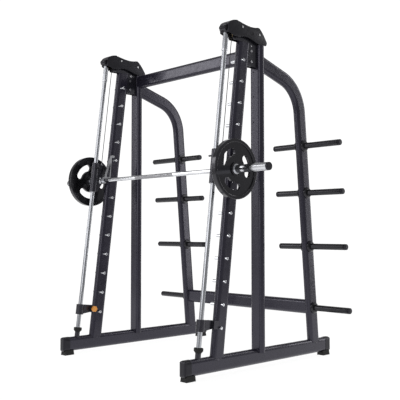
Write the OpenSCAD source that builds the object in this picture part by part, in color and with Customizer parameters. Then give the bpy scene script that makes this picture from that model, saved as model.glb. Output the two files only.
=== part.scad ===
// Smith machine: a counterbalanced bar on two leaning guide rods between two side frames.
// X runs across the machine, Y from front to back, Z is up and the floor is Z = 0.
// Each side frame stands on a base beam; its parts are drawn about the frame's own centre
// plane with X outward, then placed left and right.

/* [Side frames] */
// Distance between the centre planes of the two side frames
frame_gauge = 1264; // [1040:4:1520]
// Length of the machine along the floor, over the base end caps
base_length = 1424; // [1180:4:1720]
// Height of the tops of the posts and uprights
head_height = 2100; // [1750:5:2520]
// Long side of the flat-oval frame tube
tube_long = 100; // [84:1:120]
// Short side of the flat-oval frame tube
tube_short = 50; // [42:1:60]
// Wall thickness of the frame tube
tube_wall = 3; // [2:0.5:6]
// Height of the rubber feet under the base beams
foot_height = 25; // [15:1:40]
// Gap between the back of the peg post and the front of the upright, at the head
head_span = 66.1; // [40:0.1:90]
// Backward lean of the guide rods and peg posts
rod_lean = 7; // [4:0.5:8]
// Forward lean of the rear uprights
rear_lean = 5; // [2:0.5:8]
// Slope of the rear uprights' top run
brace_slope = 16.4; // [10:0.1:24]
// Bend radius of the rear uprights, at the tube centre
bend_radius = 250; // [180:5:300]

/* [Guide rods] */
// Diameter of the guide rods
rod_diameter = 30; // [24:1:36]
// Distance of the guide rod's floor point behind the front of the base
rod_setback = 113; // [90:1:140]
// Wall thickness of the sleeve that holds the top of the rod
top_sleeve_wall = 3; // [2:0.5:5]
// Diameter of the rubber bumper at the foot of the rod
bumper_diameter = 58; // [44:1:70]
// Height of the rubber bumper
bumper_height = 32; // [20:1:60]

/* [Peg posts] */
// Distance from the guide rod to the post, centre to centre
post_gap = 158.5; // [140:0.5:190]
// Number of hook pegs on each post
peg_count = 13; // [10:1:13]
// Spacing of the hook pegs along the post
peg_pitch = 141.5; // [120:0.5:160]
// Distance of the lowest peg along the guide rod from the floor
first_peg = 311; // [250:1:360]
// Diameter of the hook pegs
peg_diameter = 20; // [16:1:24]
// Length of the hook pegs on the inner side, from the centre of the post
peg_inner = 66.5; // [60:0.5:80]
// Length of the hook pegs on the outer side, from the centre of the post
peg_outer = 45; // [35:1:60]

/* [Bar and carriages] */
// Number of the peg, from the bottom, that the hooks stand beside
rest_peg = 9; // [6:1:9]
// Diameter of the bar
bar_diameter = 28; // [25:1:32]
// Distance of the bar behind the guide rod
bar_gap = 53.4; // [48:0.2:58]
// Length of the bar outside the centre plane of each side frame
bar_reach = 403; // [330:1:480]
// Diameter of the sleeves that carry the plates
sleeve_diameter = 50; // [48:0.5:50.5]
// Length of the bearing housing along the guide rod
housing_length = 215; // [180:1:250]
// Wall thickness of the bearing housing
housing_wall = 4; // [3:0.5:6]
// Height of the hooks' seats above the bar axis
hook_reach = 167.5; // [150:0.5:180]
// Thickness of the hook plates
hook_thickness = 12; // [8:1:16]
// Forward tilt that keeps the hooks just clear of the pegs
hook_tilt = 5.5; // [5:0.1:9]

/* [Weight plates] */
// Diameter of the weight plates
plate_diameter = 372; // [300:2:450]
// Thickness of the weight plates
plate_thickness = 34; // [28:1:42]
// Distance of the middle of the plate outside the side frame's centre plane
plate_offset = 124; // [110:1:160]

/* [Safety stops] */
// Length of the stop collar along the guide rod
stop_length = 72; // [60:1:90]
// Height of the stop collar's lower end along the guide rod
stop_height = 282; // [275:1:330]
// Diameter of the clamp knob
knob_diameter = 42; // [34:1:50]

/* [Plate storage] */
// Diameter of the storage pegs
storage_diameter = 42; // [36:1:48]
// Reach of the storage pegs outside the side frame's centre plane
storage_outer = 331; // [260:1:400]
// Reach of the storage pegs inside the side frame's centre plane
storage_inner = 243; // [200:1:290]
// Height of the lowest storage peg
storage_low = 345; // [330:1:350]
// Distance of the top storage peg below the tops of the uprights
storage_drop = 622; // [600:2:700]
// Distance of the third storage peg below the top one
third_drop = 328; // [250:2:340]
// Distance of the second storage peg below the third one
second_drop = 375; // [250:5:375]

/* [Counterbalance] */
// Groove radius of the cable pulleys, to the cable's centre
pulley_radius = 34; // [30:0.5:36]
// Diameter of the cable
cable_diameter = 5; // [4:0.5:6]
// Length of each counterweight
weight_length = 400; // [300:5:480]
// Height of the top of each counterweight
weight_top = 1300; // [1250:5:1350]

/* [Covers] */
// Half width of the top covers
cover_half = 40; // [36:0.5:44]
// Half width of the nose caps
nose_half = 28; // [26:0.5:30]
// Wall thickness of the covers and caps
cover_wall = 3; // [2:0.5:3.5]

/* [Fits] */
// Radial clearance of parts that turn or slide on one another
running_clearance = 0.05; // [0.02:0.01:0.1]
// Gap between parts of different moving pieces that face one another
face_gap = 0.3; // [0.2:0.05:0.5]

/* [Hidden] */
$fn = 96;

frame_half = frame_gauge / 2;
half_long = tube_long / 2;
half_short = tube_short / 2;
cut_size = 4000;
cope_lip = 1;

// Base beams
beam_z = foot_height + half_long;
cap_length = 54;
cap_margin = 2;
cap_round = 20;
cap_plan_round = 12;
cap_spigot = 15;
beam_half = base_length / 2 - cap_length;
foot_length = 75;
foot_width = tube_short + 6;
foot_taper = 3;
foot_wrap = 9;
foot_inset = 12;

// Uprights
rod_floor_y = rod_setback - base_length / 2;
upright_front = rod_y(head_height) + (post_gap + half_long) / cos(rod_lean) + head_span;
upright_y = upright_front + half_short;
upright_rear = upright_y + half_short;
side_overlap = half_short + cope_lip;
front_hole_diameter = 9;
front_hole_x = -12;
front_hole_drops = [174, 336, 503];

// Rear uprights: the lower run leans forward, the top run climbs to the upright
rear_foot_y = base_length / 2 - 160;
brace_top_z = head_height - 96;
bend_turn = 90 - rear_lean - brace_slope;
tangent = bend_radius * tan(bend_turn / 2);
corner_z = (brace_top_z - (rear_foot_y - upright_y) * tan(brace_slope))
    / (1 - tan(rear_lean) * tan(brace_slope));
corner_y = rear_foot_y - corner_z * tan(rear_lean);
lower_run = corner_z / cos(rear_lean) - tangent;
bend_y = corner_y + tangent * sin(rear_lean) - bend_radius * cos(rear_lean);
bend_z = corner_z - tangent * cos(rear_lean) - bend_radius * sin(rear_lean);
top_run = (corner_y - upright_y) / cos(brace_slope) - tangent;
crossbeam_z = foot_height + 324;
weld_width = 6;
weld_height = 0.6;
storage_top = head_height - storage_drop;
storage_third = storage_top - third_drop;
storage_second = storage_third - second_drop;
storage_levels = [storage_low, storage_second, storage_third, storage_top];
inner_levels = [storage_second, storage_third, storage_top];
flange_diameter = 80;
flange_thickness = 15;
flange_bevel = 9;
storage_cap_length = 18;
storage_cap_margin = 0.5;
storage_radius = storage_diameter / 2;
storage_root_radius = storage_radius - 3;
storage_root = half_short + flange_thickness;

// Guide rods, in a frame that leans with them: second axis straight back, third along the rod
rod_radius = rod_diameter / 2;
rod_bottom = foot_height + tube_long - 8;
rod_top = (head_height + 60) / cos(rod_lean);
boss_radius = rod_radius + 3;
top_sleeve_radius = rod_radius + top_sleeve_wall;
boss_top = foot_height + tube_long + 31;
sleeve_grip = 136;
ring_height = 8;
ring_margin = 2;

// Peg posts
post_bottom = beam_z;
peg_ahead = 19.2;
peg_p = post_gap - peg_ahead;
peg_radius = peg_diameter / 2;
peg_round = 4;

// Bar, hooks and carriages, from the bar's own axis
bar_radius = bar_diameter / 2;
bar_q = first_peg + (rest_peg - 1) * peg_pitch - hook_reach;
bar_y = rod_floor_y + bar_gap * cos(rod_lean) + bar_q * sin(rod_lean);
bar_z = bar_q * cos(rod_lean) - bar_gap * sin(rod_lean);
bar_half = frame_half + bar_reach;
housing_below = 92;
bearing_radius = rod_radius + 7;
housing_radius = bearing_radius + housing_wall;
bearing_length = 70;
web_half = 14;
hub_radius = bar_radius + 10;
lug_top = 116;
lug_bottom = 60;
lug_half = 11;
anchor_radius = 8;
anchor_bottom = 118;
anchor_top = 136;
cable_low = bar_q + anchor_top + face_gap;
pin_radius = 6;
pin_reach = 57;
pin_gap = 4;
pin_rise = 85;
collar_length = 14;
collar_flare = 10;
hook_x = -46;
hook_hub_radius = bar_radius + 11;
seat_p = peg_p - bar_gap;
nose_radius = 9;
nose_p = seat_p - 2;
nose_q = hook_reach + peg_radius + face_gap + nose_radius;

// Sleeves
sleeve_radius = sleeve_diameter / 2;
sleeve_start = web_half + 1;
sleeve_end = bar_reach - 15;
shoulder_radius = 32;
shoulder_length = 10;
end_cap_radius = sleeve_radius - 0.5;
sleeve_groove_width = 3;
sleeve_groove_depth = 0.8;

// Weight plates
plate_radius = plate_diameter / 2;
rim_width = 22;
hub_width = 44;
web_thickness = 18;
plate_turn = 102;
grip_inner = 82;
grip_outer = 130;
grip_half_angle = 26;
edge_round = 4;
groove_width = 3;

// Safety stops
stop_radius = rod_radius + 13;
yoke_rear = post_gap - half_long - 4.5;
yoke_front = yoke_rear - 20;
jaw_rear = peg_p - peg_radius - 4.3;
jaw_thickness = 4;
stop_arm_half = 12;
screw_p = yoke_rear - 8;
screw_radius = 5;
knob_length = 25;
stop_mid = stop_length / 2;
arm_half_height = 26;

// Counterbalance: front pulley on the cable's line, rear pulley over the upright
pulley_z = head_height + 52;
front_pulley_y = cable_y(pulley_z) + pulley_radius / cos(rod_lean);
rear_pulley_y = upright_y - pulley_radius;
pulley_half = 10;
rim_radius = pulley_radius + 4;
axle_radius = 6;
axle_half = 26;
cable_radius = cable_diameter / 2;
cable_sides = 10;
arc_steps = 8;
weight_clear = 3;

// Head bracket
bracket_half = 20;
bracket_wall = 4;
bracket_depth = 149;
bracket_front = front_pulley_y - 44;
bracket_tall = 96;
bolt_radius = 6;
bolt_head_radius = 9.5;
bolt_head_height = 7;
block_half = 24;
block_low = 44;
block_high = 60;

// Covers, from the top of the upright at the back to the nose at the front
nose_y = rod_floor_y + head_height * tan(rod_lean);
nose_front = nose_y - 34;
cover_front = cover_y(-352);
screw_head_radius = 7;
screw_head_height = 3;
nose_floor = 42;

function rod_y(z) = rod_floor_y + z * tan(rod_lean);
function cable_y(z) = rod_y(z) + bar_gap / cos(rod_lean);
function rear_y(z) = rear_foot_y - z * tan(rear_lean);
function cover_y(y) = upright_y + (y + 40) * (upright_y - nose_y) / 301;
function cover_z(z) = head_height + z - 2100;
function curve(a, b, c, steps) = [for (i = [1:steps])
    let (t = i / steps) (1 - t) * (1 - t) * a + 2 * t * (1 - t) * b + t * t * c];
function on_cover(points) = [for (p = points) [cover_y(p.x), cover_z(p.y)]];

// ---------------------------------------------------------------- placing

module at_side(side) {
    if (side < 0) {
        mirror([1, 0, 0]) translate([frame_half, 0, 0]) children();
    } else {
        translate([frame_half, 0, 0]) children();
    }
}

module both_sides() {
    at_side(-1) children();
    at_side(1) children();
}

module rod_frame() {
    translate([0, rod_floor_y, 0]) rotate([-rod_lean, 0, 0]) children();
}

module on_bar() {
    rod_frame() translate([0, bar_gap, bar_q]) children();
}

// Draws a flat shape in the Y-Z plane and gives it a width along X
module along_x(width) {
    rotate([90, 0, 90]) linear_extrude(width, center = true) children();
}

module along_y(length) {
    rotate([90, 0, 0]) linear_extrude(length, center = true) children();
}

// ---------------------------------------------------------------- shapes

module oval(long, short) {
    square([long - short, short], center = true);
    translate([(long - short) / 2, 0]) circle(d = short);
    translate([(short - long) / 2, 0]) circle(d = short);
}

module tube_outline() {
    oval(tube_long, tube_short);
}

module tube_section() {
    difference() {
        oval(tube_long, tube_short);
        oval(tube_long - 2 * tube_wall, tube_short - 2 * tube_wall);
    }
}

// Weld bead over a joint between two lengths of tube, inside and out
module weld_section() {
    difference() {
        oval(tube_long + 2 * weld_height, tube_short + 2 * weld_height);
        oval(tube_long - 2 * tube_wall - 2 * weld_height, tube_short - 2 * tube_wall - 2 * weld_height);
    }
}

// Rod along X between two positions, with rounded ends
module round_pin(from, to, radius, round) {
    translate([from, 0, 0]) rotate([0, 90, 0]) rotate_extrude() {
        square([radius - round, to - from]);
        translate([0, round]) square([radius, to - from - 2 * round]);
        translate([radius - round, round]) circle(round);
        translate([radius - round, to - from - round]) circle(round);
    }
}

module rod_x(from, to, radius) {
    translate([from, 0, 0]) rotate([0, 90, 0]) cylinder(h = to - from, r = radius);
}

// Solid outlines that neighbouring tubes are fitted to
module base_envelope() {
    translate([0, 0, beam_z]) along_y(base_length - 40) rotate(90) tube_outline();
}

// Trims a leaning tube to the crown of the base beam
module base_cope() {
    base_envelope();
    translate([-tube_long, -base_length, beam_z - tube_long])
        cube([2 * tube_long, 2 * base_length, tube_long + half_long - half_short + cope_lip]);
}

module upright_envelope() {
    translate([0, upright_y, beam_z]) linear_extrude(head_height - beam_z) tube_outline();
}

module post_envelope() {
    rod_frame() translate([0, post_gap, 0]) linear_extrude(cut_size) rotate(90) tube_outline();
}

module above_head() {
    translate([-cut_size / 2, -cut_size / 2, head_height]) cube(cut_size);
}

// ---------------------------------------------------------------- base

module base_beam(side) {
    at_side(side) translate([0, 0, beam_z]) along_y(2 * beam_half) rotate(90) tube_section();
}

module end_cap() {
    outer_y = base_length / 2;
    difference() {
        intersection() {
            translate([0, 0, beam_z]) along_y(base_length)
                rotate(90) oval(tube_long + 2 * cap_margin, tube_short + 2 * cap_margin);
            along_x(tube_long) translate([beam_half, beam_z - half_long - cap_margin]) {
                square([cap_length - cap_round, tube_long + 2 * cap_margin]);
                translate([0, cap_round])
                    square([cap_length, tube_long + 2 * cap_margin - 2 * cap_round]);
                translate([cap_length - cap_round, cap_round]) circle(cap_round);
                translate([cap_length - cap_round, tube_long + 2 * cap_margin - cap_round])
                    circle(cap_round);
            }
            linear_extrude(cut_size) {
                translate([-half_short - cap_margin, 0])
                    square([tube_short + 2 * cap_margin, outer_y - cap_plan_round]);
                translate([cap_plan_round - half_short - cap_margin, 0])
                    square([tube_short + 2 * (cap_margin - cap_plan_round), outer_y]);
                for (x = [-1, 1])
                    translate([x * (half_short + cap_margin - cap_plan_round), outer_y - cap_plan_round])
                        circle(cap_plan_round);
            }
        }
    }
    translate([0, beam_half - cap_spigot / 2, beam_z]) along_y(cap_spigot)
        rotate(90) oval(tube_long - 2 * tube_wall, tube_short - 2 * tube_wall);
}

module base_end_caps() {
    color("#1c1c1e") both_sides() {
        end_cap();
        mirror([0, 1, 0]) end_cap();
    }
}

module foot() {
    foot_top = foot_height + foot_wrap;
    difference() {
        intersection() {
            along_x(tube_long) polygon([
                [-foot_length / 2, 0],
                [foot_length / 2, 0],
                [foot_length / 2 - foot_taper, foot_top],
                [foot_taper - foot_length / 2, foot_top]]);
            along_y(tube_long) polygon([
                [-foot_width / 2, 0],
                [foot_width / 2, 0],
                [foot_width / 2 - foot_taper, foot_top],
                [foot_taper - foot_width / 2, foot_top]]);
        }
        translate([0, 0, beam_z]) along_y(2 * tube_long)
            rotate(90) oval(tube_long + 2 * cap_margin, tube_short + 2 * cap_margin);
    }
}

module base_feet() {
    foot_y = base_length / 2 - foot_inset - foot_length / 2;
    color("#151516") both_sides() {
        translate([0, foot_y, 0]) foot();
        translate([0, -foot_y, 0]) foot();
    }
}

// ---------------------------------------------------------------- side frame tubes

module front_post(side) {
    color("#2e2d31") at_side(side) difference() {
        rod_frame() translate([0, post_gap, post_bottom])
            linear_extrude(head_height) rotate(90) tube_section();
        above_head();
        base_cope();
        rod_frame() for (k = [0:peg_count - 1])
            translate([0, peg_p, first_peg + k * peg_pitch]) rod_x(-tube_long, tube_long, peg_radius);
    }
}

module post_pegs(side) {
    color("#c9cacc") at_side(side) rod_frame() for (k = [0:peg_count - 1])
        translate([0, peg_p, first_peg + k * peg_pitch])
            round_pin(-peg_inner, peg_outer, peg_radius, peg_round);
}

module upright(side) {
    bottom = foot_height + tube_long - side_overlap;
    color("#2e2d31") at_side(side) difference() {
        translate([0, upright_y, bottom]) linear_extrude(head_height - bottom) tube_section();
        base_envelope();
        for (drop = front_hole_drops)
            translate([front_hole_x, upright_front - 1, head_height - drop])
                rotate([-90, 0, 0]) cylinder(h = tube_wall + 2, d = front_hole_diameter);
    }
}

module rear_upright(side) {
    color("#2e2d31") at_side(side) difference() {
        translate([0, bend_y, bend_z]) rotate([90, 0, 90]) rotate([0, 0, rear_lean]) {
            rotate_extrude(angle = bend_turn) translate([bend_radius, 0]) tube_section();
            translate([bend_radius, 0, 0]) rotate([90, 0, 0])
                linear_extrude(lower_run - beam_z) tube_section();
            rotate(bend_turn) translate([bend_radius, 0, 0]) rotate([-90, 0, 0]) {
                linear_extrude(top_run) tube_section();
                linear_extrude(weld_width, center = true) weld_section();
            }
        }
        base_cope();
        translate([-cut_size / 2, upright_rear - cut_size, 0]) cube(cut_size);
        for (z = storage_levels)
            translate([0, rear_y(z), z])
                rod_x(z == storage_low ? 0 : -tube_long, tube_long, storage_root_radius);
    }
}

module top_crossbeam() {
    color("#2e2d31") difference() {
        translate([0, upright_y, head_height - half_long]) rotate([0, 90, 0])
            linear_extrude(frame_gauge - tube_short, center = true) tube_section();
        both_sides() upright_envelope();
    }
}

module rear_crossbeam() {
    color("#2e2d31") translate([0, rear_y(crossbeam_z), crossbeam_z]) rotate([0, 90, 0])
        linear_extrude(frame_gauge - tube_short, center = true) tube_section();
}

// ---------------------------------------------------------------- head

module bracket_plates() {
    along_x(2 * bracket_half) {
        polygon([
            [rod_y(head_height - bracket_depth) + post_gap, head_height - bracket_depth],
            [upright_front, head_height - bracket_depth],
            [upright_front, head_height],
            [rod_y(head_height) + post_gap, head_height]]);
        polygon([
            [bracket_front, head_height],
            [bracket_front, head_height + bracket_tall - 16],
            [bracket_front + 18, head_height + bracket_tall],
            [rear_pulley_y - 11, head_height + bracket_tall],
            [upright_rear - 15, head_height + 50],
            [upright_rear - 5, head_height]]);
    }
}

module bracket_bolt_places() {
    translate([0, upright_front - 60, head_height - 50]) children();
    translate([0, upright_front - 60, head_height - 118]) children();
}

module inner_bolt_place() {
    translate([0, upright_front - 54, head_height - 14]) children();
}

module bolt_shank() {
    rod_x(-bracket_half, bracket_half, bolt_radius);
}

module inner_bolt_head() {
    translate([-bracket_half - bolt_head_height, 0, 0]) rotate([0, 90, 0])
        cylinder(h = bolt_head_height, r = bolt_head_radius, $fn = 6);
}

module axle_places() {
    translate([0, front_pulley_y, pulley_z]) children();
    translate([0, rear_pulley_y, pulley_z]) children();
}

module screw_places() {
    translate([0, cover_y(-223), cover_z(2188)]) children();
    translate([0, cover_y(-61), cover_z(2166)]) children();
}

module head_bracket(side) {
    color("#26262a") at_side(side) difference() {
        bracket_plates();
        post_envelope_below_head();
        translate([0, 0, head_height]) along_x(2 * (bracket_half - bracket_wall))
            translate([-cut_size / 2, -cut_size / 2]) square(cut_size);
        bracket_bolt_places() bolt_shank();
        inner_bolt_place() bolt_shank();
        axle_places() rod_x(-axle_half, axle_half, axle_radius);
        screw_places() rod_x(-cover_half, cover_half, 3);
    }
}

module post_envelope_below_head() {
    difference() {
        post_envelope();
        above_head();
    }
}

module bracket_bolts() {
    color("#3a3a3e") both_sides() {
        bracket_bolt_places() {
            bolt_shank();
            inner_bolt_head();
            mirror([1, 0, 0]) inner_bolt_head();
        }
        inner_bolt_place() {
            bolt_shank();
            inner_bolt_head();
        }
    }
}

module pulley_axles() {
    color("#8c8e92") both_sides() axle_places() {
        rod_x(-axle_half, axle_half, axle_radius);
        translate([bracket_half, 0, 0]) rotate([0, 90, 0]) cylinder(h = 5, r = 10, $fn = 6);
        translate([-bracket_half - 5, 0, 0]) rotate([0, 90, 0]) cylinder(h = 5, r = 10, $fn = 6);
    }
}

module rod_top_block() {
    difference() {
        translate([-block_half, nose_front + cover_wall + 1, head_height + block_low])
            cube([2 * block_half, bracket_front - nose_front - cover_wall - 1, block_high - block_low]);
        rod_frame() cylinder(h = cut_size, r = top_sleeve_radius);
    }
}

module rod_top_blocks() {
    color("#1d1d20") both_sides() rod_top_block();
}

// ---------------------------------------------------------------- covers

function cover_top() = concat(
    [[-352, 2133], [-352, 2190]],
    curve([-352, 2190], [-325, 2221], [-274, 2224], 6),
    [[-262, 2214], [-258, 2219]],
    curve([-258, 2219], [-190, 2205], [-140, 2204], 6),
    curve([-140, 2204], [-100, 2205], [-74, 2213], 4),
    [[-70, 2209], [-66, 2213]],
    curve([-66, 2213], [-36, 2202], [15, 2126], 8));

function cover_bottom() = concat(
    [[6, 2104], [-29, 2085], [-73, 2101]],
    curve([-73, 2101], [-120, 2116], [-160, 2127], 3),
    curve([-160, 2127], [-215, 2135], [-250, 2117], 5),
    [[-295, 2115]]);

function cover_inside() = concat(
    [[-349, 2000], [-349, 2186]],
    curve([-349, 2187], [-323, 2215], [-273, 2218], 6),
    [[-262, 2210], [-257, 2213]],
    curve([-257, 2213], [-190, 2201], [-140, 2200], 6),
    curve([-140, 2200], [-100, 2201], [-76, 2206], 4),
    [[-70, 2204], [-64, 2207]],
    curve([-64, 2207], [-38, 2197], [11, 2126], 8),
    [[2, 2106], [2, 2000]]);

module top_cover(side) {
    inner_half = cover_half - cover_wall;
    front_open = nose_half - cover_wall;
    color("#1b1b1d") at_side(side) difference() {
        along_x(2 * cover_half) polygon(on_cover(concat(cover_top(), cover_bottom())));
        along_x(2 * inner_half) polygon(on_cover(cover_inside()));
        translate([-front_open, cover_front - 1, head_height - 100])
            cube([2 * front_open, 2 * cover_wall, 180]);
        upright_envelope();
        translate([0, upright_rear, brace_top_z]) rotate([-brace_slope, 0, 0])
            along_x(tube_short + 1) translate([-5, -200]) square([60, 200 + half_long]);
        screw_places() rod_x(-cover_half - 1, cover_half + 1, 3);
    }
}

module nose_profile(inset) {
    polygon([
        [nose_front + inset, head_height + nose_floor + 14],
        [nose_front + inset, head_height + 68 - inset],
        [nose_front + 8 + inset, head_height + 78 - inset],
        [cover_front, head_height + 84 - inset],
        [cover_front, head_height + nose_floor]]);
}

module nose_caps() {
    inner_half = nose_half - cover_wall;
    color("#1b1b1d") both_sides() difference() {
        along_x(2 * nose_half) nose_profile(0);
        along_x(2 * inner_half) {
            nose_profile(cover_wall);
            translate([nose_front + cover_wall, head_height])
                square([cover_front - nose_front, nose_floor + 14]);
        }
    }
}

module cover_screws() {
    color("#d0d1d3") both_sides() screw_places() for (turn = [0, 180]) rotate([0, 0, turn]) {
        rod_x(bracket_half - bracket_wall, cover_half, 3);
        round_pin(cover_half, cover_half + screw_head_height, screw_head_radius, 1.2);
    }
}

// ---------------------------------------------------------------- guide rods

module guide_rod(side) {
    color("#d5d6d8") at_side(side) difference() {
        rod_frame() translate([0, 0, rod_bottom]) cylinder(h = rod_top - rod_bottom, r = rod_radius);
        base_envelope();
    }
}

module rod_foot_bosses() {
    color("#2a2a2d") both_sides() difference() {
        rod_frame() translate([0, 0, rod_bottom - 10])
            cylinder(h = boss_top - rod_bottom + 10, r = boss_radius);
        rod_frame() cylinder(h = cut_size, r = rod_radius);
        base_envelope();
    }
}

module rod_bumpers() {
    lip = bumper_height / 3;
    color("#141415") both_sides() rod_frame() translate([0, 0, boss_top]) rotate_extrude()
        polygon([
            [rod_radius, 0],
            [boss_radius, 0],
            [bumper_diameter / 2 - 2, lip],
            [bumper_diameter / 2, lip + 3],
            [bumper_diameter / 2, bumper_height - 3],
            [bumper_diameter / 2 - 3, bumper_height],
            [rod_radius, bumper_height]]);
}

module rod_top_sleeves() {
    color("#d0d1d3") both_sides() rod_frame() translate([0, 0, rod_top - sleeve_grip]) difference() {
        cylinder(h = sleeve_grip, r = top_sleeve_radius);
        cylinder(h = sleeve_grip, r = rod_radius);
    }
}

module sleeve_rings() {
    ring_bottom = rod_top - sleeve_grip - ring_height;
    color("#c9cacc") both_sides() rod_frame() translate([0, 0, ring_bottom]) difference() {
        cylinder(h = ring_height, r = top_sleeve_radius + ring_margin);
        cylinder(h = ring_height, r = rod_radius);
    }
}

// ---------------------------------------------------------------- plate storage

module outer_storage_places() {
    for (z = storage_levels) translate([0, rear_y(z), z]) children();
}

module inner_storage_places() {
    for (z = inner_levels) translate([0, rear_y(z), z]) mirror([1, 0, 0]) children();
}

// One peg: a thinner root through the upright and the flange, then the part that takes plates
module storage_peg(reach) {
    rod_x(0, storage_root, storage_root_radius);
    rod_x(storage_root, reach - storage_cap_length, storage_radius);
}

module storage_pegs() {
    color("#26262a") both_sides() {
        outer_storage_places() storage_peg(storage_outer);
        inner_storage_places() storage_peg(storage_inner);
    }
}

module storage_flange() {
    translate([half_short, 0, 0]) rotate([0, 90, 0]) rotate_extrude() polygon([
        [storage_root_radius, 0],
        [flange_diameter / 2, 0],
        [flange_diameter / 2, flange_thickness - flange_bevel],
        [flange_diameter / 2 - flange_bevel, flange_thickness],
        [storage_root_radius, flange_thickness]]);
}

module storage_flanges() {
    color("#26262a") both_sides() {
        outer_storage_places() storage_flange();
        inner_storage_places() storage_flange();
    }
}

module storage_peg_caps() {
    cap_radius = storage_radius - storage_cap_margin;
    color("#18181a") both_sides() {
        outer_storage_places()
            round_pin(storage_outer - storage_cap_length, storage_outer, cap_radius, 6);
        inner_storage_places()
            round_pin(storage_inner - storage_cap_length, storage_inner, cap_radius, 6);
    }
}

// ---------------------------------------------------------------- counterbalance

module pulley(side, y) {
    floor_radius = pulley_radius - cable_radius - face_gap;
    color("#b9a87c") at_side(side) translate([0, y, pulley_z]) rotate([0, 90, 0]) difference() {
        rotate_extrude() polygon([
            [axle_radius + running_clearance, -pulley_half],
            [16, -pulley_half],
            [18, -pulley_half + 3],
            [rim_radius - 3, -pulley_half + 3],
            [rim_radius, -pulley_half + 4],
            [floor_radius, -cable_radius],
            [floor_radius, cable_radius],
            [rim_radius, pulley_half - 4],
            [rim_radius - 3, pulley_half - 3],
            [18, pulley_half - 3],
            [16, pulley_half],
            [axle_radius + running_clearance, pulley_half]]);
        for (a = [0:72:288])
            rotate(a) translate([22.5, 0, -pulley_half]) cylinder(h = 2 * pulley_half, r = 3.2);
    }
}

// Cable path in the Y-Z plane: up from the carriage, over both pulleys, down the upright
function arc_points(cy, cz, from, to) = [for (i = [0:arc_steps])
    let (a = from + (to - from) * i / arc_steps)
    [cy + pulley_radius * cos(a), cz + pulley_radius * sin(a)]];

function cable_path() = concat(
    [[rod_floor_y + bar_gap * cos(rod_lean) + cable_low * sin(rod_lean),
        cable_low * cos(rod_lean) - bar_gap * sin(rod_lean)]],
    arc_points(front_pulley_y, pulley_z, 180 - rod_lean, 90),
    arc_points(rear_pulley_y, pulley_z, 90, 0),
    [[upright_y, weight_top + 12]]);

function heading(path, i) = let (
    a = path[max(i - 1, 0)],
    b = path[min(i + 1, len(path) - 1)],
    d = b - a) d / norm(d);

function ring_points(path, i) = let (h = heading(path, i)) [for (s = [0:cable_sides - 1])
    let (a = 360 * s / cable_sides)
    [cable_radius * cos(a),
        path[i].x - h.y * cable_radius * sin(a),
        path[i].y + h.x * cable_radius * sin(a)]];

module swept_cable(path) {
    rings = len(path);
    points = [for (i = [0:rings - 1]) each ring_points(path, i)];
    sides = [for (i = [0:rings - 2], s = [0:cable_sides - 1])
        let (t = (s + 1) % cable_sides)
        [i * cable_sides + s, i * cable_sides + t, (i + 1) * cable_sides + t,
            (i + 1) * cable_sides + s]];
    start = [for (s = [cable_sides - 1:-1:0]) s];
    finish = [for (s = [0:cable_sides - 1]) (rings - 1) * cable_sides + s];
    polyhedron(points = points, faces = concat([start, finish], sides), convexity = 4);
}

module cable(side) {
    color("#17171a") at_side(side) swept_cable(cable_path());
}

module counterweight(side) {
    long = tube_long - 2 * tube_wall - 2 * weight_clear;
    short = tube_short - 2 * tube_wall - 2 * weight_clear;
    color("#55575b") at_side(side) translate([0, upright_y, weight_top]) {
        translate([0, 0, -weight_length]) linear_extrude(weight_length) oval(long, short);
        cylinder(h = 12, r = anchor_radius);
    }
}

// ---------------------------------------------------------------- carriages

module web_outline() {
    circle(hub_radius);
    polygon([
        [-bar_gap, -housing_below + 6],
        [-bar_gap + 30, -housing_below + 6],
        [hub_radius * 0.6, -hub_radius * 0.8],
        [hub_radius * 0.6, hub_radius * 0.8],
        [lug_half, lug_bottom],
        [lug_half, lug_top],
        [-bar_gap, lug_top]]);
}

module carriage(side) {
    color("#232326") at_side(side) difference() {
        on_bar() {
            translate([0, -bar_gap, -housing_below]) cylinder(h = housing_length, r = housing_radius);
            along_x(2 * web_half) web_outline();
        }
        on_bar() {
            rod_x(-tube_long, tube_long, bar_radius + running_clearance);
            translate([0, -bar_gap, -housing_below]) cylinder(h = housing_length, r = rod_radius + 2);
            for (z = [-housing_below, housing_length - housing_below - bearing_length])
                translate([0, -bar_gap, z]) cylinder(h = bearing_length, r = bearing_radius);
            translate([0, -bar_gap, pin_rise]) rod_x(-tube_long, 0, pin_radius);
        }
    }
}

module carriage_bearings() {
    color("#b4b5b8") both_sides() on_bar()
        for (z = [-housing_below, housing_length - housing_below - bearing_length])
            translate([0, -bar_gap, z]) difference() {
                cylinder(h = bearing_length, r = bearing_radius);
                cylinder(h = bearing_length, r = rod_radius + running_clearance);
            }
}

module carriage_pins() {
    color("#d0d1d3") both_sides() on_bar() translate([0, -bar_gap, pin_rise]) difference() {
        round_pin(-pin_reach, -rod_radius - pin_gap, pin_radius, 2);
        translate([0, 0, -pin_rise - housing_below]) cylinder(h = housing_length, r = bearing_radius);
    }
}

module cable_anchors() {
    color("#8c8e92") both_sides() on_bar() translate([0, 0, lug_top]) {
        cylinder(h = anchor_bottom - lug_top, r = anchor_radius + 2);
        translate([0, 0, anchor_bottom - lug_top])
            cylinder(h = anchor_top - anchor_bottom, r1 = anchor_radius, r2 = cable_radius + 1);
    }
}

// ---------------------------------------------------------------- bar

module lift_bar() {
    color("#cfd0d2") translate([0, bar_y, bar_z]) rod_x(-bar_half + 10, bar_half - 10, bar_radius);
}

module bar_collars() {
    start = -web_half - face_gap - collar_length;
    color("#cfd0d2") both_sides() translate([0, bar_y, bar_z]) translate([start, 0, 0])
        rotate([0, 90, 0]) difference() {
            cylinder(h = collar_length, r1 = bar_radius + 2, r2 = bar_radius + collar_flare);
            cylinder(h = collar_length, r = bar_radius);
        }
}

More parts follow.
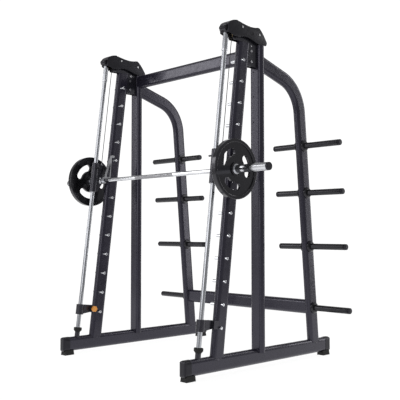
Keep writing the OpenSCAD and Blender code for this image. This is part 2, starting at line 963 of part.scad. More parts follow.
function tip_curve() = concat(
    curve([nose_p - 22, nose_q + 1], [nose_p - 20, nose_q + 9], [nose_p - 10, nose_q + 9], 4),
    curve([nose_p + 1, nose_q + 9], [nose_p + 9, nose_q + 9], [nose_p + 9, nose_q], 5),
    curve([nose_p + 9, nose_q], [nose_p + 9, nose_q - 9], [nose_p, nose_q - 9], 5));

module hook_outline() {
    difference() {
        union() {
            circle(hook_hub_radius);
            polygon(concat(
                [[-7, 15], [2, 30], [26, 104]],
                tip_curve(),
                [[seat_p - 18, nose_q - nose_radius], [seat_p - 18, hook_reach - 18], [58.5, 14]],
                curve([58.5, 14], [57, 4], [48, 3], 4),
                [[18, -12]]));
        }
        circle(bar_radius);
        polygon([[24, 36], [41.5, 101], [57.5, 134], [50, 30], [34, 24]]);
    }
}

module hook(side) {
    color("#c9cacc") at_side(side) on_bar() rotate([hook_tilt, 0, 0]) translate([hook_x, 0, 0]) {
        along_x(hook_thickness) hook_outline();
        rotate([0, 90, 0]) difference() {
            cylinder(h = 1.6 * hook_thickness, r = bar_radius + 5, center = true);
            cylinder(h = 2 * hook_thickness, r = bar_radius, center = true);
        }
    }
}

module sleeve(side) {
    shoulder_end = plate_offset - plate_thickness / 2 - face_gap;
    color("#cfd0d2") at_side(side) translate([0, bar_y, bar_z]) difference() {
        union() {
            rod_x(sleeve_start, sleeve_end, sleeve_radius);
            rod_x(shoulder_end - shoulder_length, shoulder_end, shoulder_radius);
        }
        rod_x(0, bar_reach, bar_radius);
        sleeve_groove();
    }
}

// Ring groove that marks the free end of the sleeve, just outside the plate
module sleeve_groove() {
    start = plate_offset + plate_thickness / 2 + sleeve_groove_width;
    difference() {
        rod_x(start, start + sleeve_groove_width, sleeve_radius + 1);
        rod_x(start - 1, start + sleeve_groove_width + 1, sleeve_radius - sleeve_groove_depth);
    }
}

module sleeve_end_caps() {
    color("#18181a") both_sides() translate([0, bar_y, bar_z]) difference() {
        round_pin(sleeve_end, bar_reach, end_cap_radius, 4);
        rod_x(0, bar_reach - 10, bar_radius);
    }
}

// ---------------------------------------------------------------- weight plates

module plate_section() {
    bore = sleeve_radius + 2 * running_clearance;
    half = plate_thickness / 2;
    translate([bore, -half]) square([hub_width - bore, plate_thickness]);
    translate([bore, -web_thickness / 2]) square([plate_radius - rim_width - bore, web_thickness]);
    translate([plate_radius - rim_width, edge_round - half])
        square([rim_width, plate_thickness - 2 * edge_round]);
    translate([plate_radius - rim_width + edge_round, -half])
        square([rim_width - 2 * edge_round, plate_thickness]);
    for (x = [plate_radius - rim_width + edge_round, plate_radius - edge_round], y = [-1, 1])
        translate([x, y * (half - edge_round)]) circle(edge_round);
}

function arc(centre, radius, from, to, steps) = [for (i = [0:steps])
    let (a = from + (to - from) * i / steps) centre + radius * [cos(a), sin(a)]];

module grip_outline() {
    mid = (grip_inner + grip_outer) / 2;
    end = (grip_outer - grip_inner) / 2;
    high = mid * [cos(grip_half_angle), sin(grip_half_angle)];
    low = mid * [cos(grip_half_angle), -sin(grip_half_angle)];
    polygon(concat(
        arc([0, 0], grip_outer, -grip_half_angle, grip_half_angle, 14),
        arc(high, end, grip_half_angle + 12, grip_half_angle + 168, 12),
        arc([0, 0], grip_inner, grip_half_angle, -grip_half_angle, 10),
        arc(low, end, 192 - grip_half_angle, 348 - grip_half_angle, 12)));
}

module plate(side) {
    color("#1a1a1b") at_side(side) translate([plate_offset, bar_y, bar_z]) rotate([0, 90, 0])
        difference() {
            rotate_extrude($fn = 180) plate_section();
            for (a = [0, 120, 240])
                rotate(plate_turn + a) linear_extrude(plate_thickness + 2, center = true) grip_outline();
            for (s = [-1, 1])
                translate([0, 0, s * plate_thickness / 2]) rotate_extrude()
                    translate([hub_width - 10, 0]) circle(groove_width / 2);
        }
}

// ---------------------------------------------------------------- safety stops

module stop_arm_outline() {
    polygon([
        [0, -stop_mid],
        [yoke_front, 10 - arm_half_height],
        [yoke_front, 10 + arm_half_height],
        [0, stop_mid]]);
}

module stop(side) {
    yoke_half = half_short + face_gap + jaw_thickness;
    color("#2a2a2d") at_side(side) difference() {
        rod_frame() translate([0, 0, stop_height + stop_mid]) {
            cylinder(h = stop_length, r = stop_radius, center = true);
            along_x(2 * stop_arm_half) stop_arm_outline();
            along_x(2 * yoke_half) translate([yoke_front, 10 - arm_half_height])
                square([yoke_rear - yoke_front, 2 * arm_half_height]);
            for (x = [-1, 1]) translate([x * (yoke_half - jaw_thickness / 2), 0, 0])
                along_x(jaw_thickness) {
                    translate([yoke_rear - 1, 10 - arm_half_height])
                        square([jaw_rear - yoke_rear - 7, 2 * arm_half_height]);
                    translate([yoke_rear - 1, 18 - arm_half_height])
                        square([jaw_rear - yoke_rear + 1, 2 * arm_half_height - 16]);
                    for (y = [18 - arm_half_height, 2 + arm_half_height])
                        translate([jaw_rear - 8, y]) circle(8);
                }
        }
        rod_frame() translate([0, 0, stop_height - 1])
            cylinder(h = stop_length + 2, r = rod_radius + running_clearance);
        rod_frame() translate([0, screw_p, stop_height + stop_mid + 10])
            rod_x(-tube_long, yoke_half - 2.5, screw_radius + running_clearance);
    }
}

module stop_knob(side) {
    yoke_half = half_short + face_gap + jaw_thickness;
    start = -yoke_half - face_gap;
    color("#e8852a") at_side(side) rod_frame()
        translate([0, screw_p, stop_height + stop_mid + 10]) difference() {
            union() {
                round_pin(start - knob_length, start - 6, knob_diameter / 2, 3);
                rod_x(start - 8, start, knob_diameter / 4);
                rod_x(start - 2, yoke_half - 3, screw_radius);
            }
            for (a = [0:60:300]) rotate([a, 0, 0]) translate([0, 0, knob_diameter / 2 + 3])
                rod_x(start - knob_length - 1, start - 5, 6);
        }
}

// ---------------------------------------------------------------- pieces

color("#2e2d31") base_beam(-1);  // base_beam_left
color("#2e2d31") base_beam(1);  // base_beam_right
base_end_caps();
base_feet();
front_post(-1);  // front_post_left
front_post(1);  // front_post_right
post_pegs(-1);  // post_pegs_left
post_pegs(1);  // post_pegs_right
upright(-1);  // upright_left
upright(1);  // upright_right
rear_upright(-1);  // rear_upright_left
rear_upright(1);  // rear_upright_right
top_crossbeam();
rear_crossbeam();
head_bracket(-1);  // head_bracket_left
head_bracket(1);  // head_bracket_right
bracket_bolts();
guide_rod(-1);  // guide_rod_left
guide_rod(1);  // guide_rod_right
rod_foot_bosses();
rod_bumpers();
rod_top_sleeves();
sleeve_rings();
rod_top_blocks();
nose_caps();
top_cover(-1);  // top_cover_left
top_cover(1);  // top_cover_right
cover_screws();
storage_pegs();
storage_flanges();
storage_peg_caps();
pulley_axles();
pulley(-1, front_pulley_y);  // front_pulley_left
pulley(1, front_pulley_y);  // front_pulley_right
pulley(-1, rear_pulley_y);  // rear_pulley_left
pulley(1, rear_pulley_y);  // rear_pulley_right
cable(-1);  // cable_left
cable(1);  // cable_right
counterweight(-1);  // counterweight_left
counterweight(1);  // counterweight_right
carriage(-1);  // carriage_left
carriage(1);  // carriage_right
carriage_bearings();
carriage_pins();
cable_anchors();
lift_bar();
bar_collars();
hook(-1);  // hook_left
hook(1);  // hook_right
sleeve(-1);  // sleeve_left
sleeve(1);  // sleeve_right
sleeve_end_caps();
plate(-1);  // plate_left
plate(1);  // plate_right
stop(-1);  // stop_left
stop(1);  // stop_right
stop_knob(-1);  // stop_knob_left
stop_knob(1);  // stop_knob_right
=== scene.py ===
import math

import bmesh
import bpy
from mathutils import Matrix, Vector


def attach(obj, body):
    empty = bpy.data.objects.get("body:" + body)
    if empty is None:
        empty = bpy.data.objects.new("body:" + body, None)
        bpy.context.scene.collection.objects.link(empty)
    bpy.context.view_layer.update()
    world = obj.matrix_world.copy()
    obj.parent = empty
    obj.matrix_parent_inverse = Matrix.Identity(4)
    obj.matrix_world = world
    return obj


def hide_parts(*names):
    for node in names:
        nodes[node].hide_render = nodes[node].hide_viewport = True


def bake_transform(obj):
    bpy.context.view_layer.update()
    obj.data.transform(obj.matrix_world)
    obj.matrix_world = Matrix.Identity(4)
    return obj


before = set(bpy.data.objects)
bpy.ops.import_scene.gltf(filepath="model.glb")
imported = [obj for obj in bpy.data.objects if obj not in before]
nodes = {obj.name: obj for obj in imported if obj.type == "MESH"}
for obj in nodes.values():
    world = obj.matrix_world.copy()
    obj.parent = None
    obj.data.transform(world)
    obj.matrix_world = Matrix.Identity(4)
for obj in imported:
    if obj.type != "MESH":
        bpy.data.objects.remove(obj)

# ---------------------------------------------------------------- sizes, in metres, as in the CAD part

SIDES = ((-1, "left"), (1, "right"))
FRAME_HALF = 0.632  # centre plane of the machine to the centre plane of a side frame
HEAD = 2.100  # top of the uprights
LEAN_DEGREES = 7
LEAN = math.radians(LEAN_DEGREES)
SIN, COS, TAN = math.sin(LEAN), math.cos(LEAN), math.tan(LEAN)
ROD_FLOOR = 0.113 - 0.712  # where a guide rod's axis meets the floor
FIRST_PEG, PEG_PITCH, PEGS_BELOW, HOOK_DROP = 0.311, 0.1415, 8, 0.1675
BAR_P, BAR_Q = 0.0534, FIRST_PEG + PEGS_BELOW * PEG_PITCH - HOOK_DROP
ANCHOR_ABOVE_BAR = 0.136
POST_P = 0.1585
BEAM_Z = 0.075
UPRIGHT_Y = -0.040
HALF_LONG, HALF_SHORT = 0.050, 0.025  # half the width of the flat-oval tube, each way
REAR_FOOT, REAR_LEAN = 0.552, math.radians(5)
REAR_CROSSBEAM_Z = 0.349
BRACE_SLOPE, BRACE_BELOW_HEAD = math.radians(16.4), 0.096
PULLEY_Z, PULLEY_R, CABLE_R = 2.152, 0.034, 0.0025
WEIGHT_TOP_Z = 1.312
PLATE_BEYOND_FRAME = 0.124


def rod_point(x, p, q):
    """A point given across the machine, back from the guide rod and up along it."""
    return Vector((x, ROD_FLOOR + p * COS + q * SIN, q * COS - p * SIN))


BAR = rod_point(0, BAR_P, BAR_Q)
ANCHOR = rod_point(0, BAR_P, BAR_Q + ANCHOR_ABOVE_BAR)
FRONT_PULLEY = Vector((0, ROD_FLOOR + PULLEY_Z * TAN + (BAR_P + PULLEY_R) / COS, PULLEY_Z))
REAR_PULLEY = Vector((0, UPRIGHT_Y - PULLEY_R, PULLEY_Z))

# ---------------------------------------------------------------- materials

NOISE_ROUGHNESS = 0.55
NOISE_LOW, NOISE_HIGH = 0.3, 0.7  # the span of a noise texture's values that is stretched onto a range
KNURL_HALF = 0.20  # the knurled band reaches this far to each side of the bar's middle
KNURL_AROUND, KNURL_ALONG = 24.0, 1900.0  # how closely the grooves cross, round the bar and along it


class Shader:
    """A small helper that adds nodes to one material and links them."""

    def __init__(self, name):
        self.mat = bpy.data.materials.new(name)
        self.mat.use_nodes = True
        self.tree = self.mat.node_tree
        self.bsdf = self.tree.nodes["Principled BSDF"]
        coord = self.add("ShaderNodeTexCoord")
        self.place = coord.outputs["Object"]

    def add(self, kind, **values):
        node = self.tree.nodes.new(kind)
        for key, value in values.items():
            setattr(node, key, value)
        return node

    def link(self, a, b):
        self.tree.links.new(a, b)

    def noise(self, scale, detail, stretch=None):
        tex = self.add("ShaderNodeTexNoise")
        tex.inputs["Scale"].default_value = scale
        tex.inputs["Detail"].default_value = detail
        tex.inputs["Roughness"].default_value = NOISE_ROUGHNESS
        source = self.place
        if stretch:
            move = self.add("ShaderNodeMapping")
            move.inputs["Scale"].default_value = stretch
            self.link(self.place, move.inputs["Vector"])
            source = move.outputs["Vector"]
        self.link(source, tex.inputs["Vector"])
        return tex.outputs["Fac"]

    def span(self, value, low, high):
        """Maps a noise value onto the range from low to high."""
        node = self.add("ShaderNodeMapRange")
        node.inputs["From Min"].default_value = NOISE_LOW
        node.inputs["From Max"].default_value = NOISE_HIGH
        node.inputs["To Min"].default_value = low
        node.inputs["To Max"].default_value = high
        self.link(value, node.inputs["Value"])
        return node.outputs["Result"]

    def mix(self, factor, a, b):
        node = self.add("ShaderNodeMix", data_type="RGBA")
        node.inputs[6].default_value = (*a, 1)
        node.inputs[7].default_value = (*b, 1)
        self.link(factor, node.inputs[0])
        return node.outputs[2]

    def math(self, kind, a, b=None):
        node = self.add("ShaderNodeMath", operation=kind)
        for i, v in enumerate((a, b)):
            if v is None:
                continue
            if isinstance(v, (int, float)):
                node.inputs[i].default_value = v
            else:
                self.link(v, node.inputs[i])
        return node.outputs[0]

    def relief(self, height, strength, distance, edge):
        """A fine surface relief, over rounded edges where an edge radius is given."""
        bump = self.add("ShaderNodeBump")
        if edge:
            bevel = self.add("ShaderNodeBevel", samples=4)
            bevel.inputs["Radius"].default_value = edge
            self.link(bevel.outputs[0], bump.inputs["Normal"])
        bump.inputs["Strength"].default_value = strength
        bump.inputs["Distance"].default_value = distance
        self.link(height, bump.inputs["Height"])
        self.link(bump.outputs[0], self.bsdf.inputs["Normal"])


def coated(name, dark, light, rough, grain, strength, edge=0.0015, coat=0.0, sheen=0.5, tint=(1.0, 1.0, 1.0)):
    """Paint, plastic or rubber: two close shades, uneven gloss and a fine grain."""
    s = Shader(name)
    s.link(s.mix(s.span(s.noise(7, 4), 0, 1), dark, light), s.bsdf.inputs["Base Color"])
    s.link(s.span(s.noise(40, 5), rough - 0.05, rough + 0.06), s.bsdf.inputs["Roughness"])
    s.bsdf.inputs["Specular IOR Level"].default_value = sheen
    s.bsdf.inputs["Specular Tint"].default_value = (*tint, 1)
    s.bsdf.inputs["Coat Weight"].default_value = coat
    s.bsdf.inputs["Coat Roughness"].default_value = 0.08
    s.relief(s.noise(grain, 2), strength, 0.0006, edge)
    return s.mat


def bright(name, dark, light, rough, lines, strength, edge=0.0010):
    """Plated or bare metal with faint polishing lines."""
    s = Shader(name)
    s.link(s.mix(s.span(s.noise(11, 4), 0, 1), dark, light), s.bsdf.inputs["Base Color"])
    s.bsdf.inputs["Metallic"].default_value = 1.0
    brush = s.noise(60, 4, stretch=lines)
    s.link(s.span(brush, max(rough - 0.03, 0.02), rough + 0.05), s.bsdf.inputs["Roughness"])
    s.relief(brush, strength, 0.0002, edge)
    return s.mat


def knurled(name):
    """Chrome bar with a band of crossed grooves in its middle."""
    s = Shader(name)
    s.bsdf.inputs["Metallic"].default_value = 1.0
    axes = s.add("ShaderNodeSeparateXYZ")
    s.link(s.place, axes.inputs[0])
    x = axes.outputs["X"]
    y = s.math("SUBTRACT", axes.outputs["Y"], BAR.y)
    z = s.math("SUBTRACT", axes.outputs["Z"], BAR.z)
    turn = s.math("MULTIPLY", s.math("ARCTAN2", y, z), KNURL_AROUND)
    along = s.math("MULTIPLY", x, KNURL_ALONG)
    left = s.math("ABSOLUTE", s.math("SINE", s.math("ADD", along, turn)))
    right = s.math("ABSOLUTE", s.math("SINE", s.math("SUBTRACT", along, turn)))
    groove = s.math("MINIMUM", left, right)
    inside = s.math("MULTIPLY", s.math("GREATER_THAN", x, -KNURL_HALF), s.math("LESS_THAN", x, KNURL_HALF))
    cut = s.math("MULTIPLY", groove, inside)
    s.link(s.mix(inside, (0.80, 0.81, 0.84), (0.42, 0.42, 0.44)), s.bsdf.inputs["Base Color"])
    gloss = s.math("ADD", s.math("MULTIPLY", inside, 0.26), s.span(s.noise(30, 4), 0.06, 0.12))
    s.link(gloss, s.bsdf.inputs["Roughness"])
    s.relief(cut, 0.7, 0.0006, 0.0008)
    return s.mat


# Tints of the highlights on dark surfaces
PAINT_TINT, GLOSS_TINT, PLASTIC_TINT = (0.86, 0.83, 1.0), (0.88, 0.86, 1.0), (0.86, 0.84, 1.0)

paint = coated("frame_paint", (0.0105, 0.0095, 0.0165), (0.0150, 0.0140, 0.0230), 0.27,
               grain=1400, strength=0.006, edge=0, coat=0.15, tint=PAINT_TINT)
dark_paint = coated("dark_paint", (0.008, 0.008, 0.011), (0.013, 0.013, 0.017), 0.26,
                    grain=1200, strength=0.01, coat=0.2, tint=GLOSS_TINT)
satin = coated("satin_black", (0.006, 0.006, 0.007), (0.011, 0.011, 0.012), 0.28,
               grain=1300, strength=0.04, coat=0.2, sheen=0.35, tint=GLOSS_TINT)
moulded = coated("moulded_plastic", (0.006, 0.006, 0.007), (0.010, 0.010, 0.011), 0.36,
                 grain=2200, strength=0.08, edge=0.002, sheen=0.35, tint=PLASTIC_TINT)
rubber = coated("rubber", (0.008, 0.008, 0.008), (0.015, 0.015, 0.015), 0.68,
                grain=1700, strength=0.35, edge=0.002, sheen=0.3)
enamel = coated("plate_enamel", (0.004, 0.004, 0.005), (0.008, 0.008, 0.009), 0.16,
                grain=420, strength=0.02, edge=0.002, coat=0.35, sheen=0.4, tint=GLOSS_TINT)
nylon = coated("pulley_nylon", (0.30, 0.24, 0.13), (0.40, 0.32, 0.19), 0.45, grain=900, strength=0.15)
jacket = coated("cable_jacket", (0.012, 0.012, 0.013), (0.03, 0.03, 0.033), 0.32,
                grain=2500, strength=0.35, edge=0.0002)
orange = coated("orange_plastic", (0.70, 0.28, 0.035), (0.82, 0.36, 0.075), 0.33,
                grain=1500, strength=0.10, edge=0.002, coat=0.3)
chrome = bright("chrome", (0.62, 0.63, 0.66), (0.72, 0.73, 0.76), 0.12, lines=(4, 1, 1), strength=0.008, edge=0)
rod_chrome = bright("rod_chrome", (0.40, 0.41, 0.44), (0.48, 0.49, 0.52), 0.14,
                    lines=(1, 1, 6), strength=0.004, edge=0)
steel = bright("zinc_steel", (0.34, 0.34, 0.36), (0.46, 0.46, 0.48), 0.30, lines=(1, 1, 8), strength=0.15)
screw_steel = bright("screw_steel", (0.70, 0.70, 0.72), (0.82, 0.82, 0.84), 0.22, lines=(9, 1, 1), strength=0.1)
bar_chrome = knurled("bar_chrome")

finishes = {
    paint: ["base_beam_left", "base_beam_right", "front_post_left", "front_post_right", "upright_left",
            "upright_right", "rear_upright_left", "rear_upright_right", "top_crossbeam", "rear_crossbeam"],
    dark_paint: ["head_bracket_left", "head_bracket_right", "rod_foot_bosses", "carriage_left",
                 "carriage_right", "stop_left", "stop_right"],
    moulded: ["base_end_caps", "rod_top_blocks", "nose_caps", "top_cover_left", "top_cover_right",
              "storage_peg_caps", "sleeve_end_caps"],
    satin: ["storage_pegs", "storage_flanges", "carriage_pins"],
    rubber: ["base_feet", "rod_bumpers"],
    enamel: ["plate_left", "plate_right"],
    rod_chrome: ["guide_rod_left", "guide_rod_right", "rod_top_sleeves"],
    chrome: ["post_pegs_left", "post_pegs_right", "sleeve_rings",
             "bar_collars", "hook_left", "hook_right", "sleeve_left", "sleeve_right"],
    bar_chrome: ["lift_bar"],
    screw_steel: ["cover_screws"],
    steel: ["bracket_bolts", "pulley_axles", "carriage_bearings", "cable_anchors", "counterweight_left",
            "counterweight_right"],
    nylon: ["front_pulley_left", "front_pulley_right", "rear_pulley_left", "rear_pulley_right"],
    jacket: ["cable_left", "cable_right"],
    orange: ["stop_knob_left", "stop_knob_right"],
}
for mat, names in finishes.items():
    for name in names:
        mesh = nodes[name].data
        mesh.materials.clear()
        mesh.materials.append(mat)

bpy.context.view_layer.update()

# ---------------------------------------------------------------- shape helpers


def new_object(name, bm, mat, smooth=40):
    """An object made from bm, shaded smooth except where its faces meet at more than so many degrees."""
    mesh = bpy.data.meshes.new(name)
    bmesh.ops.recalc_face_normals(bm, faces=bm.faces)
    bm.to_mesh(mesh)
    bm.free()
    for face in mesh.polygons:
        face.use_smooth = True
    mesh.set_sharp_from_angle(angle=math.radians(smooth))
    mesh.materials.append(mat)
    obj = bpy.data.objects.new(name, mesh)
    bpy.context.scene.collection.objects.link(obj)
    return obj


def swept(name, points, radius, mat, closed=False, sides=8, body="frame"):
    """A round bead or cable along a path."""
    bm = bmesh.new()
    count = len(points)
    rings = []
    for i, p in enumerate(points):
        before = points[i - 1] if closed or i else p
        after = points[(i + 1) % count] if closed or i < count - 1 else p
        along = (after - before).normalized()
        side = along.cross(Vector((1, 0, 0)))
        if side.length < 0.2:
            side = along.cross(Vector((0, 1, 0)))
        side.normalize()
        up = along.cross(side)
        rings.append([bm.verts.new(p + radius * (math.cos(a) * side + math.sin(a) * up))
                      for a in (2 * math.pi * k / sides for k in range(sides))])
    for i in range(count if closed else count - 1):
        one, two = rings[i], rings[(i + 1) % count]
        for k in range(sides):
            bm.faces.new((one[k], one[(k + 1) % sides], two[(k + 1) % sides], two[k]))
    if not closed:
        bm.faces.new(rings[0])
        bm.faces.new(rings[-1])
    obj = new_object(name, bm, mat, 70)
    if body:
        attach(obj, body)
    return obj


def lathe(name, profile, centre, mat, body, sides=64):
    """A ring turned about an axis along X, from (position along X, radius) pairs."""
    bm = bmesh.new()
    rings = []
    for x, r in profile:
        rings.append([bm.verts.new(centre + Vector((x, r * math.cos(a), r * math.sin(a))))
                      for a in (2 * math.pi * k / sides for k in range(sides))])
    for i in range(len(rings)):
        one, two = rings[i], rings[(i + 1) % len(rings)]
        for k in range(sides):
            bm.faces.new((one[k], one[(k + 1) % sides], two[(k + 1) % sides], two[k]))
    obj = new_object(name, bm, mat)
    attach(obj, body)
    return obj


def stadium(count=48):
    """Points round a flat-oval tube, each as its place along the long side, then along the short side."""
    flat = HALF_LONG - HALF_SHORT
    points = []
    for k in range(count):
        a = 2 * math.pi * (k + 0.5) / count
        shift = flat if math.cos(a) > 0 else -flat
        points.append((shift + HALF_SHORT * math.cos(a), HALF_SHORT * math.sin(a)))
    return points


def bulge(x):
    """How far a tube's rounded narrow side stands out at a distance from its centre plane."""
    return math.sqrt(max(HALF_SHORT ** 2 - x * x, 0))


def crown(x):
    """Height of the base beam's rounded top at a distance from its centre plane."""
    return BEAM_Z + HALF_LONG - HALF_SHORT + bulge(x)


# ---------------------------------------------------------------- weld beads where tubes meet

BEAD = 0.0028
for side, tag in SIDES:
    cx = side * FRAME_HALF
    post, rear = [], []
    for p, x in stadium():
        z = crown(x)
        q = (z + (POST_P + p) * SIN) / COS
        post.append(rod_point(cx + x, POST_P + p, q))
        rear.append(Vector((cx + x, REAR_FOOT + p - z * math.tan(REAR_LEAN), z)))
    swept(f"weld_post_{tag}", post, BEAD, paint, closed=True)
    swept(f"weld_rear_upright_{tag}", rear, BEAD, paint, closed=True)
    for y, where in ((-HALF_SHORT, "front"), (HALF_SHORT, "back")):
        path = [Vector((cx + x, UPRIGHT_Y + y, crown(x))) for x in
                (HALF_SHORT * math.sin(math.radians(a)) for a in range(-80, 81, 10))]
        swept(f"weld_upright_{where}_{tag}", path, BEAD, paint)
    beam = [Vector((side * (FRAME_HALF - HALF_LONG + HALF_SHORT - bulge(y)), UPRIGHT_Y + y, HEAD - HALF_LONG + z))
            for z, y in stadium()]
    swept(f"weld_top_crossbeam_{tag}", beam, BEAD, paint, closed=True)
    low_y = REAR_FOOT - REAR_CROSSBEAM_Z * math.tan(REAR_LEAN)
    low_beam = [Vector((side * (FRAME_HALF - HALF_SHORT), low_y + y, REAR_CROSSBEAM_Z + z)) for z, y in stadium()]
    swept(f"weld_rear_crossbeam_{tag}", low_beam, BEAD, paint, closed=True)
    join = [Vector((cx + x, UPRIGHT_Y + HALF_SHORT,
                    HEAD - BRACE_BELOW_HEAD - HALF_SHORT * math.tan(BRACE_SLOPE) + z / math.cos(BRACE_SLOPE)))
            for z, x in stadium()]
    swept(f"weld_brace_{tag}", join, BEAD, paint, closed=True)

# ---------------------------------------------------------------- cables, from the carriage over the pulleys down to the weight

RUN_STEPS, OVER_STEPS = 24, 12
MEETS_PULLEY = 180 - LEAN_DEGREES  # the angle round the front pulley, in degrees, where the front run meets it
for side, tag in SIDES:
    shift = Vector((side * FRAME_HALF, 0, 0))
    touch = FRONT_PULLEY + PULLEY_R * Vector((0, -COS, SIN))
    front = [shift + ANCHOR.lerp(touch, k / RUN_STEPS) for k in range(RUN_STEPS + 1)]
    run = swept(f"cable_front_{tag}", front, CABLE_R, jacket, sides=12, body=None)
    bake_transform(run)
    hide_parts(f"cable_{tag}")
    over = []
    for k in range(OVER_STEPS + 1):
        a = math.radians(MEETS_PULLEY + (90 - MEETS_PULLEY) * k / OVER_STEPS)
        over.append(shift + FRONT_PULLEY + PULLEY_R * Vector((0, math.cos(a), math.sin(a))))
    for k in range(OVER_STEPS + 1):
        a = math.radians(90 - 90 * k / OVER_STEPS)
        over.append(shift + REAR_PULLEY + PULLEY_R * Vector((0, math.cos(a), math.sin(a))))
    swept(f"cable_over_{tag}", over, CABLE_R, jacket, sides=12)
    top = shift + REAR_PULLEY + Vector((0, PULLEY_R, 0))
    bottom = Vector((top.x, top.y, WEIGHT_TOP_Z))
    back = [top.lerp(bottom, k / RUN_STEPS) for k in range(RUN_STEPS + 1)]
    drop = swept(f"cable_drop_{tag}", back, CABLE_R, jacket, sides=12, body=None)
    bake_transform(drop)

# ---------------------------------------------------------------- covers with rounded shoulders

COVER_HALF, COVER_EDGE, COVER_FACE = 0.040, 0.0065, 0.0402
NOSE_HALF, NOSE_EDGE = 0.028, 0.005
SHELL_WALL = 0.0025
HOLE_Y, HOLE_Z = -0.126, 2.166


def curve(a, b, c, steps):
    """Points from a, which is left out, to c, bending towards b."""
    a, b, c = Vector(a), Vector(b), Vector(c)
    return [(1 - t) ** 2 * a + 2 * t * (1 - t) * b + t * t * c for t in ((i + 1) / steps for i in range(steps))]


def moulded_shell(name, outline, centre_x, half, edge, is_open):
    """A shell from a side outline: extruded across, its outer edges rounded, its open side removed."""
    bm = bmesh.new()
    near = [bm.verts.new((centre_x - half, p[0], p[1])) for p in outline]
    far = [bm.verts.new((centre_x + half, p[0], p[1])) for p in outline]
    count = len(outline)
    bm.faces.new(near)
    bm.faces.new(list(reversed(far)))
    for i in range(count):
        k = (i + 1) % count
        bm.faces.new((near[k], near[i], far[i], far[k]))
    bmesh.ops.recalc_face_normals(bm, faces=bm.faces)
    rim = [e for e in bm.edges if abs(e.verts[0].co.x - e.verts[1].co.x) < 1e-6]
    bmesh.ops.bevel(bm, geom=rim, offset=edge, segments=4, profile=0.5, affect="EDGES", clamp_overlap=True)
    gone = [f for f in bm.faces if is_open(f)]
    bmesh.ops.delete(bm, geom=gone, context="FACES")
    obj = new_object(name, bm, moulded, 32)
    thick = obj.modifiers.new("wall", "SOLIDIFY")
    thick.thickness = SHELL_WALL
    thick.offset = -1
    return obj


# The long cover's outline from the side, as places along Y and Z: over the top, then back underneath
top_line = [Vector((-0.352, 2.133)), Vector((-0.352, 2.190))]
top_line += curve((-0.352, 2.190), (-0.325, 2.2205), (-0.2665, 2.2238), 10)
top_line += [Vector((-0.2625, 2.2165)), Vector((-0.2585, 2.2205))]
top_line += curve((-0.2585, 2.2205), (-0.190, 2.205), (-0.140, 2.204), 10)
top_line += curve((-0.140, 2.204), (-0.100, 2.205), (-0.074, 2.213), 6)
top_line += [Vector((-0.070, 2.2095)), Vector((-0.066, 2.213))]
top_line += curve((-0.066, 2.213), (-0.036, 2.202), (0.015, 2.126), 12)
under_line = [Vector((0.006, 2.104)), Vector((-0.015, 2.1012)), Vector((-0.066, 2.1012))]
under_line += curve((-0.066, 2.1012), (-0.120, 2.116), (-0.160, 2.127), 6)
under_line += curve((-0.160, 2.127), (-0.215, 2.135), (-0.250, 2.117), 8)
under_line += [Vector((-0.295, 2.115))]


def faces_down(face):
    """The long cover is open underneath."""
    return face.normal.z < -0.25 and abs(face.normal.x) < 0.3


def nose_open(face):
    """The nose cap is open at the back and underneath."""
    return face.normal.y > 0.5 or (face.normal.z < -0.5 and abs(face.normal.x) < 0.3)


nose_line = [Vector(p) for p in (
    (-0.3750, 2.156), (-0.3752, 2.166), (-0.3725, 2.1735), (-0.367, 2.179), (-0.3515, 2.184), (-0.3515, 2.142))]
for side, tag in SIDES:
    cx = side * FRAME_HALF
    cover = moulded_shell(f"cover_shell_{tag}", top_line + under_line, cx, COVER_HALF, COVER_EDGE, faces_down)
    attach(cover, "frame")
    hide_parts(f"top_cover_{tag}")
    nose = moulded_shell(f"nose_shell_{tag}", nose_line, cx, NOSE_HALF, NOSE_EDGE, nose_open)
    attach(nose, "frame")
    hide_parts("nose_caps")
    for face in (-1, 1):
        x = cx + face * COVER_FACE
        lathe(f"cover_hole_{tag}_{'in' if face * side < 0 else 'out'}",
              ((face * 0.0012, 0.0075), (face * 0.0008, 0.0085), (-face * 0.002, 0.0085), (-face * 0.002, 0.0075)),
              Vector((x, HOLE_Y, HOLE_Z)), rubber, "frame", 32)

# ---------------------------------------------------------------- plate hubs

HUB_RING = ((-0.0178, 0.0254), (-0.0178, 0.0305), (-0.0165, 0.0320),
            (0.0165, 0.0320), (0.0178, 0.0305), (0.0178, 0.0254))
for side, tag in SIDES:
    centre = Vector((side * (FRAME_HALF + PLATE_BEYOND_FRAME), BAR.y, BAR.z))
    lathe(f"plate_hub_ring_{tag}", HUB_RING, centre, chrome, f"plate_{tag}", 72)

# ---------------------------------------------------------------- smooth shading of the CAD meshes

CAD_SHARP = math.radians(28)
for obj in nodes.values():
    for face in obj.data.polygons:
        face.use_smooth = True
    obj.data.set_sharp_from_angle(angle=CAD_SHARP)

# ---------------------------------------------------------------- stage


def plain(name, colour, emission):
    """A matt surface with a glow of its own."""
    s = Shader(name)
    s.link(s.mix(s.noise(1.5, 2), colour, tuple(c * 0.985 for c in colour)), s.bsdf.inputs["Base Color"])
    s.bsdf.inputs["Roughness"].default_value = 0.9
    s.bsdf.inputs["Specular IOR Level"].default_value = 0.1
    s.bsdf.inputs["Emission Color"].default_value = (1, 1, 1, 1)
    s.bsdf.inputs["Emission Strength"].default_value = emission
    return s.mat


def sheet_of(name, corners, mat):
    """A flat sheet from its corners."""
    bm = bmesh.new()
    bm.faces.new([bm.verts.new(c) for c in corners])
    obj = new_object(name, bm, mat)
    return obj


FLOOR_RADIUS, FLOOR_SIDES = 5, 96
floor_angles = (2 * math.pi * k / FLOOR_SIDES for k in range(FLOOR_SIDES))
white = plain("studio_white", (0.20, 0.20, 0.20), 0.90)
sheet_of("floor", [(FLOOR_RADIUS * math.cos(a), FLOOR_RADIUS * math.sin(a), 0) for a in floor_angles], white)


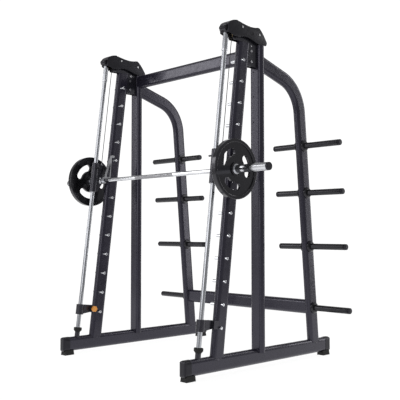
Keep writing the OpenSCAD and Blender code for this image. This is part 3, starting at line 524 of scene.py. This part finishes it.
def area(name, place, target, size, power):
    """A rectangular lamp at place, turned towards target."""
    light = bpy.data.lights.new(name, "AREA")
    light.shape = "RECTANGLE"
    light.size, light.size_y = size
    light.energy = power
    obj = bpy.data.objects.new(name, light)
    obj.location = place
    obj.rotation_mode = "QUATERNION"
    obj.rotation_quaternion = (Vector(target) - Vector(place)).to_track_quat("-Z", "Y")
    bpy.context.scene.collection.objects.link(obj)


area("key", (1.4, -5.2, 2.6), (0, 0, 1.3), (2.2, 3.4), 50)
area("side", (2.0, 3.1, 1.9), (0.6, 0.4, 1.3), (0.6, 3.4), 24)
area("left", (-4.5, -4.5, 3.2), (0, 0, 1.1), (1.4, 3.5), 60)
area("top", (0, 0.5, 5.2), (0, 0, 0.5), (3.0, 3.0), 60)

# The room is dim, but white behind the object as the camera sees it and brighter to its front left, so that
# metal has both light and dark to mirror
world = bpy.data.worlds.new("studio")
bpy.context.scene.world = world
world.use_nodes = True
tree = world.node_tree
coord = tree.nodes.new("ShaderNodeTexCoord")


def patch(direction, start, end, low, high):
    """The room's strength round one direction: low outside the patch, rising softly to high in its middle.

    start and end are the cosines of the angles at the patch's rim and where it reaches its full strength.
    """
    aim = tree.nodes.new("ShaderNodeVectorMath")
    aim.operation = "DOT_PRODUCT"
    aim.inputs[1].default_value = direction
    tree.links.new(coord.outputs["Generated"], aim.inputs[0])
    ramp = tree.nodes.new("ShaderNodeMapRange")
    ramp.interpolation_type = "SMOOTHSTEP"
    for key, value in (("From Min", start), ("From Max", end), ("To Min", low), ("To Max", high)):
        ramp.inputs[key].default_value = value
    tree.links.new(aim.outputs["Value"], ramp.inputs["Value"])
    return ramp.outputs["Result"]


both = tree.nodes.new("ShaderNodeMath")
both.operation = "ADD"
tree.links.new(patch((-0.72, 0.69, 0.0), 0.78, 0.91, 0.36, 1.08), both.inputs[0])
tree.links.new(patch((-0.25, -0.97, 0.0), 0.70, 0.95, 0.0, 0.45), both.inputs[1])
tree.links.new(both.outputs[0], tree.nodes["Background"].inputs["Strength"])
tree.nodes["Background"].inputs["Color"].default_value = (1, 1, 1, 1)
bpy.context.scene.view_settings.view_transform = "Standard"

# ---------------------------------------------------------------- camera

turn, rise = math.radians(46.05), math.radians(-2.58)
back = Vector((math.sin(turn) * math.cos(rise), -math.cos(turn) * math.cos(rise), math.sin(rise)))
lens = bpy.data.cameras.new("camera")
lens.lens, lens.sensor_width = 63.6, 36
camera = bpy.data.objects.new("camera", lens)
camera.location = (3.697, -3.520, 0.8775)
camera.rotation_mode = "QUATERNION"
camera.rotation_quaternion = (-back).to_track_quat("-Z", "Y")
bpy.context.scene.collection.objects.link(camera)
bpy.context.scene.camera = camera
